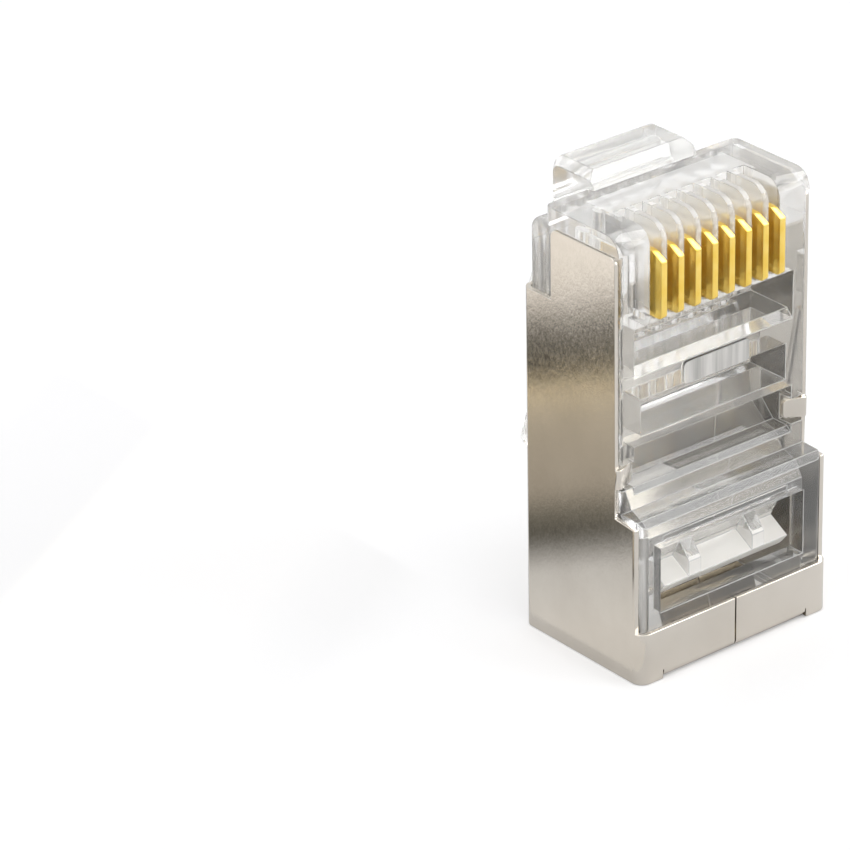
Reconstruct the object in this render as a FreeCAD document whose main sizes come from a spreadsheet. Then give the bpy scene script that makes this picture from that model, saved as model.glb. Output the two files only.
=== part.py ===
"""Shielded eight-way modular plug, standing on its cable end.

Frame: +Z runs from the cable end to the nose, -Y is the contact side, +Y the latch side and X the
width.  The origin is the centre of the cable entry, in the plane of the shield's rear rim.
Lengths are in millimetres.
"""
import FreeCAD, Part
import os
import re

import Sketcher

# Driving dimensions: name -> size.  Each one is a cell of the document's spreadsheet.
SIZES = {
    # overall
    "plug_width": 11.68,
    "plug_depth": 8.25,
    "housing_length": 21.9,
    # shield: one folded sheet
    "sheet_gauge": 0.25,
    "ear_setback": 0.95,
    "panel_setback": 4.45,
    "band_height": 2.6,
    "step_height": 7.9,
    "step_rise": 0.12,
    "block_edge_setback": 0.45,
    "nose_edge_setback": 0.15,
    "side_back_setback": 2.05,
    "contact_bend": 0.6,
    "latch_bend": 0.5,
    "fold_bend": 0.4,
    "seam_gap": 0.08,
    "corner_relief": 0.05,
    "ear_corner": 0.4,
    "panel_flap_reach": 1.45,
    "panel_flap_bow": 0.3,
    "panel_flap_margin": 1.04,
    "panel_flap_taper": 0.7,
    "tongue_offset": 1.92,
    "tongue_length": 2.6,
    "tongue_rise": 0.95,
    "tongue_margin": 1.44,
    "tongue_taper": 1.55,
    "tongue_corner": 0.4,
    "tab_bottom": 9.5,
    "tab_height": 1.0,
    "tab_reach": 1.2,
    "tab_stand": 0.3,
    "tab_dip": 0.5,
    "tab_bend": 0.2,
    "tab_end_round": 0.25,
    # housing: one clear moulding
    "shield_fit": 0.02,
    "nose_depth": 6.6,
    "block_height": 8.2,
    "block_edge_bevel": 0.3,
    "block_side_round": 0.4,
    "nose_side_round": 0.12,
    "latch_side_round": 0.3,
    "rear_chamfer": 0.22,
    "nose_round": 0.9,
    "flange_inset": 0.09,
    "flange_back_setback": 1.52,
    "flange_corner": 0.4,
    "ledge_round": 0.6,
    "side_wall": 0.85,
    "block_wall": 0.95,
    "panel_wall": 0.86,
    "cavity_straight": 7.0,
    "shoulder_height": 9.6,
    "shoulder_side_inset": 0.17,
    "shoulder_front_inset": 3.1,
    "shoulder_back_inset": 0.4,
    "funnel_margin": 0.14,
    "funnel_height": 1.15,
    "wire_length": 7.0,
    "wire_bore": 0.9,
    "wire_end_wall": 1.0,
    "wire_depth": 3.625,
    "contact_pitch": 1.016,
    "guide_width": 0.668,
    "guide_depth": 0.92,
    "guide_length": 4.48,
    "guide_relief_depth": 2.45,
    "guide_relief_length": 0.95,
    "blade_fit": 0.01,
    "blade_end_gap": 0.05,
    "slot_breakthrough": 0.1,
    "window_margin": 1.17,
    "window_bottom": 3.3,
    "window_top": 6.6,
    "clamp_gap": 0.6,
    "clamp_web_root": 0.35,
    "clamp_web_overlap": 0.25,
    "clamp_web_slant": 0.85,
    "clamp_crown_height": 4.95,
    "clamp_toe_inset": 0.4,
    "clamp_toe_top": 4.29,
    "clamp_toe_rake": 0.5,
    "clamp_toe_bottom": 3.69,
    "clamp_depth": 2.15,
    "clamp_heel": 3.9,
    "clamp_back_height": 5.2,
    "gusset_width": 0.75,
    "gusset_spread": 3.9,
    "gusset_top": 5.95,
    "gusset_reach": 0.85,
    "gusset_front_height": 5.05,
    "pocket_margin": 0.77,
    "pocket_rib_bevel": 0.4,
    "upper_pocket_setback": 4.68,
    "upper_pocket_height": 2.02,
    "upper_pocket_depth": 2.85,
    "middle_pocket_setback": 8.28,
    "middle_pocket_height": 1.82,
    "middle_pocket_margin": 1.17,
    "middle_pocket_depth": 2.4,
    "lower_pocket_bottom": 9.2,
    "lower_pocket_height": 2.15,
    "lower_pocket_depth": 2.1,
    "lower_pocket_slope": 0.9,
    "ridge_bevel": 0.25,
    "bar_pad_width": 4.0,
    "bar_pad_rise": 0.2,
    "bar_pad_margin": 0.04,
    "bar_pad_round": 0.25,
    "tab_notch_margin": 0.15,
    "tab_notch_depth": 0.8,
    # latch: the lever of the same moulding, and the root it bends from
    "latch_width": 6.2,
    "root_front_setback": 1.92,
    "root_front_slope": 0.6,
    "root_setback": 1.85,
    "root_rise": 0.8,
    "root_back": 1.38,
    "root_round": 0.8,
    "root_chamfer": 0.4,
    "hinge_setback": 1.9,
    "hinge_offset": 0.95,
    "knuckle_radius": 0.36,
    "knuckle_fit": 0.03,
    "stop_drop": 5.0,
    "stop_lift": 3.0,
    "stop_depth": 0.95,
    "lever_width": 3.3,
    "kink_drop": 10.1,
    "kink_lift": 4.1,
    "kink_depth": 1.5,
    "tip_drop": 13.8,
    "tip_lift": 5.25,
    "tip_depth": 1.2,
    "tip_rake": 0.45,
    "lever_round": 0.2,
    # contacts: eight identical stamped blades
    "blade_gauge": 0.35,
    "blade_protrusion": 0.6,
    "blade_setback": 4.35,
    "blade_length": 3.2,
    "blade_slope": 0.36,
    "blade_slope_run": 0.67,
    "blade_body": 2.35,
    "blade_foot": 0.25,
    "tooth_length": 0.6,
    "tooth_width": 0.62,
    "tooth_pitch": 0.89,
    "tooth_margin": 0.4,
}

CONTACTS = 8
TEETH = 3
FIRST_CONTACT = f"-contact_pitch * {(CONTACTS - 1) / 2}"

# Planes and lines that follow from the driving dimensions, written as expressions.
PLACES = {
    "shield_side": "plug_width / 2",
    "shield_inside": "shield_side - sheet_gauge",
    "side_height": "housing_length - ear_setback",
    "panel_height": "housing_length - panel_setback",
    "panel_face": "plug_depth / 2",
    "panel_inside": "panel_face - sheet_gauge",
    "band_face": "-plug_depth / 2",
    "band_inside": "band_face + sheet_gauge",
    "block_edge": "band_face + block_edge_setback",
    "ear_front": "contact_face + nose_edge_setback",
    "ear_back": "panel_face - side_back_setback",
    "rim_cut": "fold_bend + corner_relief",
    "panel_flap_root": "shield_side - panel_flap_margin",
    "panel_flap_tip": "panel_flap_root - panel_flap_taper",
    "flap_middle": "panel_face - panel_flap_reach",
    "flap_edge": "flap_middle - panel_flap_bow",
    "tongue_root": "shield_side - tongue_margin",
    "tongue_side": "tongue_root - tongue_taper",
    "tongue_start": "band_face + tongue_offset",
    "tongue_end": "tongue_start + tongue_rise",
    "tongue_skew": "tongue_rise / tongue_length",
    "tongue_gauge": "sheet_gauge * sqrt(1 + tongue_skew ^ 2)",
    "tongue_under": "tongue_start - tongue_gauge + tongue_skew * sheet_gauge",
    "tab_corner": "ear_front - tab_stand",
    "tab_skew": "tab_dip / tab_reach",
    "tab_gauge": "sheet_gauge * sqrt(1 + tab_skew ^ 2)",
    "tab_inside": "tab_corner + tab_gauge + tab_skew * sheet_gauge",
    "contact_face": "panel_face - nose_depth",
    "housing_side": "shield_inside - shield_fit",
    "housing_back": "panel_inside - shield_fit",
    "housing_rear": "sheet_gauge + shield_fit",
    "block_face": "band_inside + shield_fit",
    "flange_side": "shield_side - flange_inset",
    "flange_bottom": "side_height + shield_fit",
    "flange_back": "panel_face - flange_back_setback",
    "cavity_side": "housing_side - side_wall",
    "cavity_front": "block_face + block_wall",
    "cavity_back": "housing_back - panel_wall",
    "shoulder_side": "cavity_side - shoulder_side_inset",
    "funnel_side": f"wire_bore / 2 + funnel_margin - ({FIRST_CONTACT})",
    "wire_axis": "contact_face + wire_depth",
    "wire_start": "housing_length - wire_end_wall - wire_length",
    "guide_bottom": "housing_length - guide_length",
    "guide_relief_bottom": "housing_length - guide_relief_length",
    "window_side": "housing_side - window_margin",
    "clamp_side": "window_side - clamp_gap",
    "clamp_front": "cavity_front - clamp_web_overlap",
    "clamp_crown": "clamp_front + clamp_web_slant",
    "clamp_toe": "block_face + clamp_toe_inset",
    "clamp_back": "block_face + clamp_depth",
    "pocket_side": "housing_side - pocket_margin",
    "upper_pocket_top": "housing_length - upper_pocket_setback",
    "upper_pocket_bottom": "upper_pocket_top - upper_pocket_height",
    "middle_pocket_side": "housing_side - middle_pocket_margin",
    "middle_pocket_top": "housing_length - middle_pocket_setback",
    "middle_pocket_bottom": "middle_pocket_top - middle_pocket_height",
    "lower_pocket_top": "lower_pocket_bottom + lower_pocket_height",
    "root_front": "panel_face - root_front_setback",
    "root_face": "panel_face + root_back",
    "root_bottom": "housing_length - root_setback",
    "root_top": "housing_length + root_rise",
    "hinge_axis": "panel_face + hinge_offset",
    "hinge_height": "housing_length - hinge_setback",
    "stop_height": "hinge_height - stop_drop",
    "kink_height": "hinge_height - kink_drop",
    "tip_height": "hinge_height - tip_drop",
    "stop_face": "panel_face + stop_lift",
    "kink_face": "panel_face + kink_lift",
    "tip_face": "panel_face + tip_lift",
    "blade_front": "contact_face - blade_protrusion",
    "blade_back": "contact_face + blade_body",
    "blade_bottom": "housing_length - blade_setback",
    "blade_top": "blade_bottom + blade_length",
}

CLOSE = 0.001
ALONG = 0.97
OVERRUN = "0.6"

doc = FreeCAD.newDocument("modular_plug")


def make_sheet():
    """The spreadsheet: one row per driving dimension, with its name as the alias."""
    sheet = doc.addObject("Spreadsheet::Sheet", "Sizes")
    for row, (name, size) in enumerate(SIZES.items(), start=1):
        sheet.set(f"A{row}", name)
        sheet.set(f"B{row}", str(size))
        sheet.setAlias(f"B{row}", name)
    doc.recompute()
    return sheet


sizes = make_sheet()


def bound(text):
    """An expression on the sheet's cells, from one in the names of SIZES and PLACES."""

    def expand(match):
        name = match.group(0)
        if name in SIZES:
            return "Sizes." + name
        if name in PLACES:
            return "(" + bound(PLACES[name]) + ")"
        return name

    return re.sub(r"[a-z_]+", expand, text)


def value(text):
    """The present value of an expression, in millimetres."""
    return float(sizes.evalExpression(bound(text)))


def vector(x, y, z=0.0):
    return FreeCAD.Vector(x, y, z)


# --- sketches ---------------------------------------------------------------------------------


def new_body(name):
    body = doc.addObject("PartDesign::Body", name)
    body.Label = name
    return body


def origin_feature(body, role):
    return next(item for item in body.Origin.OriginFeatures if item.Role == role)


def new_sketch(body, name, plane, offset="0"):
    """A sketch on one of the body's own planes, moved along that plane's normal by offset."""
    sketch = body.newObject("Sketcher::SketchObject", name)
    sketch.AttachmentSupport = [(origin_feature(body, plane + "_Plane"), "")]
    sketch.MapMode = "FlatFace"
    sketch.setExpression("AttachmentOffset.Base.z", bound(offset))
    return sketch


def pin_point(sketch, curve, end, place):
    """Ties one end of a curve to a place given as two expressions."""
    for kind, coordinate in zip(("DistanceX", "DistanceY"), place):
        constraint = Sketcher.Constraint(kind, -1, 1, curve, end, value(coordinate))
        index = sketch.addConstraint(constraint)
        sketch.setExpression(f"Constraints[{index}]", bound(coordinate))


def pin_radius(sketch, curve, radius):
    index = sketch.addConstraint(Sketcher.Constraint("Radius", curve, value(radius)))
    sketch.setExpression(f"Constraints[{index}]", bound(radius))


def draw_polygon(sketch, places):
    """A closed outline of straight lines through places, each a pair of expressions."""
    corners = [vector(value(x), value(y)) for x, y in places]
    first = sketch.GeometryCount
    count = len(corners)
    for index, corner in enumerate(corners):
        sketch.addGeometry(Part.LineSegment(corner, corners[(index + 1) % count]), False)
    for index, place in enumerate(places):
        following = first + (index + 1) % count
        sketch.addConstraint(Sketcher.Constraint("Coincident", first + index, 2, following, 1))
        pin_point(sketch, first + index, 1, place)
    return sketch


def draw_both_sides(sketch, places):
    """An outline and its mirror image across X = 0."""
    draw_polygon(sketch, places)
    return draw_polygon(sketch, [(f"-({x})", y) for x, y in places])


def draw_circle(sketch, place, radius):
    centre = vector(value(place[0]), value(place[1]))
    curve = sketch.addGeometry(Part.Circle(centre, vector(0, 0, 1), value(radius)), False)
    pin_point(sketch, curve, 3, place)
    pin_radius(sketch, curve, radius)
    return sketch


def draw_bow(sketch, half_width, base, rise):
    """A straight chord, and an arc that rises above it."""
    half, low = value(half_width), value(base)
    arc = Part.Arc(vector(half, low), vector(0, low + value(rise)), vector(-half, low))
    bend = sketch.addGeometry(arc, False)
    line = sketch.addGeometry(Part.LineSegment(vector(-half, low), vector(half, low)), False)
    sketch.addConstraint(Sketcher.Constraint("Coincident", bend, 2, line, 1))
    sketch.addConstraint(Sketcher.Constraint("Coincident", line, 2, bend, 1))
    pin_point(sketch, line, 1, ("-" + half_width, base))
    pin_point(sketch, line, 2, (half_width, base))
    pin_radius(sketch, bend, f"(({half_width}) ^ 2 + ({rise}) ^ 2) / (2 * ({rise}))")
    return sketch


def draw_round_bottom_slot(sketch, centre, bottom, top, half_width):
    """An upright slot with a square top and a half-round bottom."""
    left, right = f"{centre} - {half_width}", f"{centre} + {half_width}"
    spring = f"{bottom} + {half_width}"
    corners = [(right, spring), (right, top), (left, top), (left, spring)]
    points = [vector(value(x), value(y)) for x, y in corners]
    lowest = vector(value(centre), value(bottom))
    curves = [Part.LineSegment(points[0], points[1]), Part.LineSegment(points[1], points[2]),
              Part.LineSegment(points[2], points[3]), Part.Arc(points[3], lowest, points[0])]
    names = [sketch.addGeometry(curve, False) for curve in curves]
    for before, after in zip(names, names[1:] + names[:1]):
        sketch.addConstraint(Sketcher.Constraint("Coincident", before, 2, after, 1))
    for curve, corner in zip(names[:3], corners):
        pin_point(sketch, curve, 1, corner)
    pin_point(sketch, names[3], 3, (centre, spring))
    return sketch


def rectangle(x_low, y_low, x_high, y_high):
    return [(x_low, y_low), (x_high, y_low), (x_high, y_high), (x_low, y_high)]


# --- features ---------------------------------------------------------------------------------


def extrude(body, kind, sketch, length, symmetric=False, reverse=False):
    """A Pad or a Pocket of a sketch, with its length bound to the sheet."""
    feature = body.newObject("PartDesign::" + kind, sketch.Name + "_" + kind.lower())
    feature.Profile = (sketch, [""])
    feature.setExpression("Length", bound(length))
    feature.SideType = "Symmetric" if symmetric else "One side"
    feature.Reversed = reverse
    doc.recompute()
    return feature


def profile_pad(body, name, places, width, offset="0"):
    """Material with an outline in the YZ plane, centred on X = offset."""
    sketch = draw_polygon(new_sketch(body, name, "YZ", offset), places)
    return extrude(body, "Pad", sketch, width, symmetric=True)


def profile_cut(body, name, places, width):
    """A cut with an outline in the YZ plane, centred on X = 0."""
    sketch = draw_polygon(new_sketch(body, name, "YZ"), places)
    return extrude(body, "Pocket", sketch, width, symmetric=True)


def edges_along(feature, axis, **places):
    """A feature's straight edges along an axis at given coordinates; x counts on both sides."""
    wanted = {key: value(text) for key, text in places.items()}
    names = []
    for number, edge in enumerate(feature.Shape.Edges, start=1):
        if len(edge.Vertexes) != 2 or not isinstance(edge.Curve, Part.Line):
            continue
        start, end = (vertex.Point for vertex in edge.Vertexes)
        run = end - start
        middle = (start + end) * 0.5
        middle.x = abs(middle.x)
        here = all(abs(getattr(middle, key) - size) < CLOSE for key, size in wanted.items())
        if here and abs(getattr(run, axis)) > ALONG * run.Length:
            names.append(f"Edge{number}")
    if not names:
        raise ValueError(f"{feature.Name} has no edge along {axis} at {wanted}")
    return names


def dress(body, kind, base, edges, size):
    """A Fillet or a Chamfer on named edges of the base feature."""
    feature = body.newObject("PartDesign::" + kind, f"{base.Name}_{kind.lower()}")
    feature.Base = (base, edges)
    feature.setExpression("Radius" if kind == "Fillet" else "Size", bound(size))
    doc.recompute()
    return feature


def fillet(body, base, radius, axis, **places):
    return dress(body, "Fillet", base, edges_along(base, axis, **places), radius)


def loft_cut(body, name, lower, upper):
    """A tapered cavity between two rectangles, each (height, half width, front, back)."""
    sketches = []
    for index, (height, half_width, front, back) in enumerate((lower, upper)):
        sketch = new_sketch(body, f"{name}_section_{index}", "XY", height)
        sketches.append(draw_polygon(sketch, rectangle(f"-({half_width})", front, half_width, back)))
    feature = body.newObject("PartDesign::SubtractiveLoft", name)
    feature.Profile = sketches[0]
    feature.Sections = sketches[1:]
    feature.Ruled = True
    doc.recompute()
    return feature


def repeat_contacts(body, name, features):
    """Copies of some features for every contact, a pitch apart along X."""
    pattern = body.newObject("PartDesign::LinearPattern", name)
    pattern.Originals = features
    pattern.Direction = (origin_feature(body, "X_Axis"), [""])
    pattern.setExpression("Length", bound(f"contact_pitch * {CONTACTS - 1}"))
    pattern.Occurrences = CONTACTS
    body.Tip = pattern
    doc.recompute()
    return pattern


# --- shield -----------------------------------------------------------------------------------


def shield_tube(body):
    """The sheet folded into a tube, before its edges are trimmed."""
    outer = new_sketch(body, "tube", "XY")
    draw_polygon(outer, rectangle("-shield_side", "band_face", "shield_side", "panel_face"))
    solid = extrude(body, "Pad", outer, "side_height")
    solid = fillet(body, solid, "contact_bend", "z", x="shield_side", y="band_face")
    fillet(body, solid, "latch_bend", "z", x="shield_side", y="panel_face")
    inner = new_sketch(body, "bore", "XY")
    draw_polygon(inner, rectangle("-shield_inside", "band_inside", "shield_inside", "panel_inside"))
    solid = extrude(body, "Pocket", inner, "side_height", reverse=True)
    solid = fillet(body, solid, "contact_bend - sheet_gauge", "z", x="shield_inside", y="band_inside")
    return fillet(body, solid, "latch_bend - sheet_gauge", "z", x="shield_inside", y="panel_inside")


def trim_tube(body):
    """Opens the contact side above the band and stops the back panel short of the ears."""
    before = f"band_face - {OVERRUN}"
    behind = f"panel_face + {OVERRUN}"
    above = f"side_height + {OVERRUN}"
    width = f"plug_width + {OVERRUN}"
    profile_cut(body, "contact_side_opening", [
        (before, "band_height"), ("block_edge", "band_height"), ("block_edge", "step_height"),
        ("ear_front", "step_height + step_rise"), ("ear_front", above), (before, above)], width)
    solid = profile_cut(body, "panel_end",
                        rectangle("ear_back", "panel_height", behind, above), width)
    solid = fillet(body, solid, "ear_corner", "x", y="ear_front", z="side_height")
    return fillet(body, solid, "ear_corner", "x", y="ear_back", z="side_height")


def clear_rim(body, name, low, high, width):
    """Takes the straight rim away where a flap's bend replaces it."""
    places = rectangle(low, "-" + OVERRUN, high, "rim_cut")
    return profile_cut(body, name, places, f"{width} + 2 * corner_relief")


def trim_ends(body, name, places, height):
    """Cuts the slanted ends of a flap, from below the rim up to a height."""
    sketch = draw_both_sides(new_sketch(body, name, "XY", "-" + OVERRUN), places)
    return extrude(body, "Pocket", sketch, f"{height} + {OVERRUN}", reverse=True)


def panel_flap(body):
    """The flap that closes the rear rim on the latch side."""
    clear_rim(body, "panel_rim", "panel_inside", f"panel_face + {OVERRUN}", "2 * panel_flap_root")
    solid = profile_pad(body, "panel_flap", [
        ("panel_face", "rim_cut"), ("panel_face", "0"), ("flap_edge", "0"),
        ("flap_edge", "sheet_gauge"), ("panel_inside", "sheet_gauge"),
        ("panel_inside", "rim_cut")], "2 * panel_flap_root")
    solid = fillet(body, solid, "fold_bend", "x", x="0", y="panel_face", z="0")
    fillet(body, solid, "fold_bend - sheet_gauge", "x", x="0", y="panel_inside", z="sheet_gauge")
    outside = "panel_flap_root + corner_relief"
    trim_ends(body, "panel_flap_ends", [
        (outside, "panel_face - rim_cut"), ("panel_flap_root", "panel_face - rim_cut"),
        ("panel_flap_tip", "flap_edge"), ("panel_flap_tip", f"flap_edge - {OVERRUN}"),
        (outside, f"flap_edge - {OVERRUN}")], "fold_bend")
    bow = draw_bow(new_sketch(body, "panel_flap_bow_line", "XY"), "(panel_flap_tip)",
                   "flap_edge", "panel_flap_bow")
    return extrude(body, "Pocket", bow, "fold_bend", reverse=True)


def tongues(body):
    """The two half flaps of the contact side: along the rear plane, then up into the cavity."""
    clear_rim(body, "band_rim", f"band_face - {OVERRUN}", "band_inside", "2 * tongue_root")
    profile_pad(body, "tongue", [
        ("band_face", "rim_cut"), ("band_face", "0"), ("tongue_start", "0"),
        ("tongue_end", "tongue_length"), ("tongue_end - tongue_gauge", "tongue_length"),
        ("tongue_under", "sheet_gauge"), ("band_inside", "sheet_gauge"),
        ("band_inside", "rim_cut")], "2 * tongue_root")
    outside = "tongue_root + corner_relief"
    solid = trim_ends(body, "tongue_ends", [
        (outside, "band_face + rim_cut"), ("tongue_root", "band_face + rim_cut"),
        ("tongue_side", "tongue_start - fold_bend"),
        ("tongue_side", "tongue_end + corner_relief"),
        (outside, "tongue_end + corner_relief")], "tongue_length + corner_relief")
    inner_bend = "fold_bend - sheet_gauge"
    corners = edges_along(solid, "y", z="tongue_length")
    solid = dress(body, "Chamfer", solid, corners, "tongue_corner")
    solid = fillet(body, solid, "fold_bend", "x", x="0", y="band_face", z="0")
    solid = fillet(body, solid, inner_bend, "x", x="0", y="band_inside", z="sheet_gauge")
    solid = fillet(body, solid, "fold_bend", "x", x="0", y="tongue_start", z="0")
    fillet(body, solid, inner_bend, "x", x="0", y="tongue_under", z="sheet_gauge")
    seam = new_sketch(body, "seam", "XY", "-" + OVERRUN)
    draw_polygon(seam, rectangle("-seam_gap / 2", f"band_face - {OVERRUN}", "seam_gap / 2",
                                 "tongue_end + corner_relief"))
    return extrude(body, "Pocket", seam, f"band_height + 2 * {OVERRUN}", reverse=True)


def grip_tabs(body):
    """The small ears that wrap round the contact side and lock into the housing."""
    root = "ear_front + corner_relief"
    sketch = draw_both_sides(new_sketch(body, "grip_tab", "XY", "tab_bottom"), [
        ("shield_side", root), ("shield_side", "tab_corner"),
        ("shield_side - tab_reach", "tab_corner + tab_dip"),
        ("shield_side - tab_reach", "tab_corner + tab_dip + tab_gauge"),
        ("shield_inside", "tab_inside"), ("shield_inside", root)])
    solid = extrude(body, "Pad", sketch, "tab_height")
    solid = fillet(body, solid, "tab_bend", "z", x="shield_side", y="tab_corner")
    ends = edges_along(solid, "y", x="shield_side - tab_reach")
    return dress(body, "Fillet", solid, ends, "tab_end_round")


def make_shield():
    body = new_body("shield")
    shield_tube(body)
    trim_tube(body)
    panel_flap(body)
    tongues(body)
    grip_tabs(body)
    return body


# --- housing ----------------------------------------------------------------------------------


def housing_core(body):
    """The moulding's outer form: wide block at the cable end, stepped nose, flange at the end."""
    solid = profile_pad(body, "core", [
        ("block_face", "housing_rear"), ("block_face", "block_height - block_edge_bevel"),
        ("block_face + block_edge_bevel", "block_height"), ("contact_face", "block_height"),
        ("contact_face", "housing_length"), ("flange_back", "housing_length"),
        ("flange_back", "side_height"), ("housing_back", "side_height"),
        ("housing_back", "housing_rear")], "2 * housing_side")
    solid = fillet(body, solid, "ledge_round", "x", y="housing_back", z="side_height")
    solid = fillet(body, solid, "block_side_round", "z", x="housing_side", y="block_face")
    solid = fillet(body, solid, "nose_side_round", "z", x="housing_side", y="contact_face")
    solid = fillet(body, solid, "latch_side_round", "z", x="housing_side", y="housing_back")
    rim = edges_along(solid, "x", z="housing_rear") + edges_along(solid, "y", z="housing_rear")
    dress(body, "Chamfer", solid, rim, "rear_chamfer")
    sketch = new_sketch(body, "flange", "XY", "flange_bottom")
    draw_polygon(sketch, rectangle("-flange_side", "contact_face", "flange_side", "flange_back"))
    solid = extrude(body, "Pad", sketch, "housing_length - flange_bottom")
    solid = fillet(body, solid, "flange_corner", "z", x="flange_side", y="flange_back")
    return fillet(body, solid, "nose_round", "x", y="contact_face", z="housing_length")


def latch_root(body):
    """The block behind the nose that the latch lever bends from, with the hinge's groove."""
    solid = profile_pad(body, "latch_root", [
        ("root_front", "root_bottom"), ("root_front", "housing_length"),
        ("root_front + root_front_slope", "root_top"), ("root_face", "root_top"),
        ("root_face", "root_bottom")], "latch_width")
    solid = fillet(body, solid, "root_round", "x", y="root_face", z="root_top")
    corners = edges_along(solid, "z", x="latch_width / 2", y="root_face")
    dress(body, "Chamfer", solid, corners, "root_chamfer")
    groove = draw_circle(new_sketch(body, "hinge_groove", "YZ"), ("hinge_axis", "hinge_height"),
                         "knuckle_radius + knuckle_fit")
    return extrude(body, "Pocket", groove, f"latch_width + {OVERRUN}", symmetric=True)


def wire_cavity(body):
    """The cable entry, the funnel that narrows it and the eight bores for the wires."""
    entry = new_sketch(body, "entry", "XY")
    draw_polygon(entry, rectangle("-cavity_side", "cavity_front", "cavity_side", "cavity_back"))
    extrude(body, "Pocket", entry, "cavity_straight", reverse=True)
    straight = ("cavity_straight", "cavity_side", "cavity_front", "cavity_back")
    shoulder = ("shoulder_height", "shoulder_side", "cavity_front + shoulder_front_inset",
                "cavity_back - shoulder_back_inset")
    throat = ("wire_start", "funnel_side", "wire_axis - funnel_height / 2",
              "wire_axis + funnel_height / 2")
    loft_cut(body, "shoulder", straight, shoulder)
    loft_cut(body, "funnel", shoulder, throat)
    bore = draw_circle(new_sketch(body, "wire_bore", "XY", "wire_start"),
                       (FIRST_CONTACT, "wire_axis"), "wire_bore / 2")
    feature = extrude(body, "Pocket", bore, "wire_length", reverse=True)
    return repeat_contacts(body, "wire_bores", [feature])


def contact_comb(body):
    """The comb of guides on the contact side, each with a slot for one blade."""
    beyond = f"housing_length + {OVERRUN}"
    face = "-(contact_face)"
    guide = new_sketch(body, "guide", "XZ", face)
    draw_round_bottom_slot(guide, FIRST_CONTACT, "guide_bottom", beyond, "guide_width / 2")
    relief = new_sketch(body, "guide_relief", "XZ", face)
    draw_polygon(relief, rectangle(f"{FIRST_CONTACT} - guide_width / 2", "guide_relief_bottom",
                                   f"{FIRST_CONTACT} + guide_width / 2", beyond))
    half_slot = "(blade_gauge / 2 + blade_fit)"
    slot = new_sketch(body, "blade_slot", "XZ", face)
    draw_polygon(slot, rectangle(f"{FIRST_CONTACT} - {half_slot}", "blade_bottom - blade_end_gap",
                                 f"{FIRST_CONTACT} + {half_slot}", "blade_top + blade_end_gap"))
    features = [
        extrude(body, "Pocket", guide, "guide_depth"),
        extrude(body, "Pocket", relief, "guide_relief_depth"),
        extrude(body, "Pocket", slot, "wire_depth - wire_bore / 2 + slot_breakthrough"),
    ]
    return repeat_contacts(body, "comb", features)


def face_pockets(body):
    """The three pockets across the contact side, and the notch for the shield's grip tabs."""
    before = f"contact_face - {OVERRUN}"
    floor = "contact_face + upper_pocket_depth"
    profile_cut(body, "upper_pocket", [
        (before, "upper_pocket_bottom - pocket_rib_bevel"),
        ("contact_face", "upper_pocket_bottom - pocket_rib_bevel"),
        ("contact_face + pocket_rib_bevel", "upper_pocket_bottom"),
        (floor, "upper_pocket_bottom"), (floor, "upper_pocket_top"),
        (before, "upper_pocket_top")], "2 * pocket_side")
    floor = "contact_face + middle_pocket_depth"
    profile_cut(body, "middle_pocket",
                rectangle(before, "middle_pocket_bottom", floor, "middle_pocket_top"),
                "2 * middle_pocket_side")
    floor = "contact_face + lower_pocket_depth"
    profile_cut(body, "lower_pocket", [
        (before, "lower_pocket_bottom - ridge_bevel"),
        ("contact_face", "lower_pocket_bottom - ridge_bevel"),
        ("contact_face + ridge_bevel", "lower_pocket_bottom"),
        (f"{floor} - lower_pocket_slope", "lower_pocket_bottom"),
        (floor, "lower_pocket_bottom + lower_pocket_slope"),
        (floor, "lower_pocket_top"), (before, "lower_pocket_top")], "2 * pocket_side")
    return profile_cut(body, "tab_notch", rectangle(
        before, "tab_bottom - tab_notch_margin", "contact_face + tab_notch_depth",
        "tab_bottom + tab_height + tab_notch_margin"), f"plug_width + {OVERRUN}")


def bar_pad(body):
    """The raised pad in the middle of the bar between the upper and middle pockets."""
    low = "middle_pocket_top + bar_pad_margin"
    high = "upper_pocket_bottom - pocket_rib_bevel - bar_pad_margin"
    solid = profile_pad(body, "bar_pad", rectangle(
        "contact_face - bar_pad_rise", low, "contact_face + bar_pad_rise", high),
        "bar_pad_width")
    solid = fillet(body, solid, "bar_pad_round", "y", x="bar_pad_width / 2", z=low)
    return fillet(body, solid, "bar_pad_round", "y", x="bar_pad_width / 2", z=high)


def strain_relief(body):
    """The window in the block and the hinged bar that is pressed onto the cable through it."""
    profile_cut(body, "window", rectangle(
        f"block_face - {OVERRUN}", "window_bottom", "cavity_front", "window_top"),
        "2 * window_side")
    above = "window_top + clamp_web_overlap"
    profile_pad(body, "clamp_bar", [
        ("clamp_front", above), ("clamp_front", "window_top"),
        ("clamp_crown", "clamp_crown_height"), ("clamp_toe", "clamp_toe_top"),
        ("clamp_toe + clamp_toe_rake", "clamp_toe_bottom"), ("clamp_back", "clamp_heel"),
        ("clamp_back", "clamp_back_height"), ("clamp_front + clamp_web_root", "window_top"),
        ("clamp_front + clamp_web_root", above)], "2 * clamp_side")
    for name, side in (("left_gusset", "-"), ("right_gusset", "")):
        profile_pad(body, name, [
            ("clamp_crown", "gusset_top"), ("clamp_crown - gusset_reach / 2", "gusset_top"),
            ("clamp_toe", "gusset_front_height"), ("clamp_toe", "clamp_toe_top"),
            ("clamp_crown", "clamp_toe_top")],
            "gusset_width", side + "gusset_spread / 2")


def make_housing():
    body = new_body("housing")
    housing_core(body)
    latch_root(body)
    wire_cavity(body)
    face_pockets(body)
    bar_pad(body)
    strain_relief(body)
    contact_comb(body)
    return body


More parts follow.
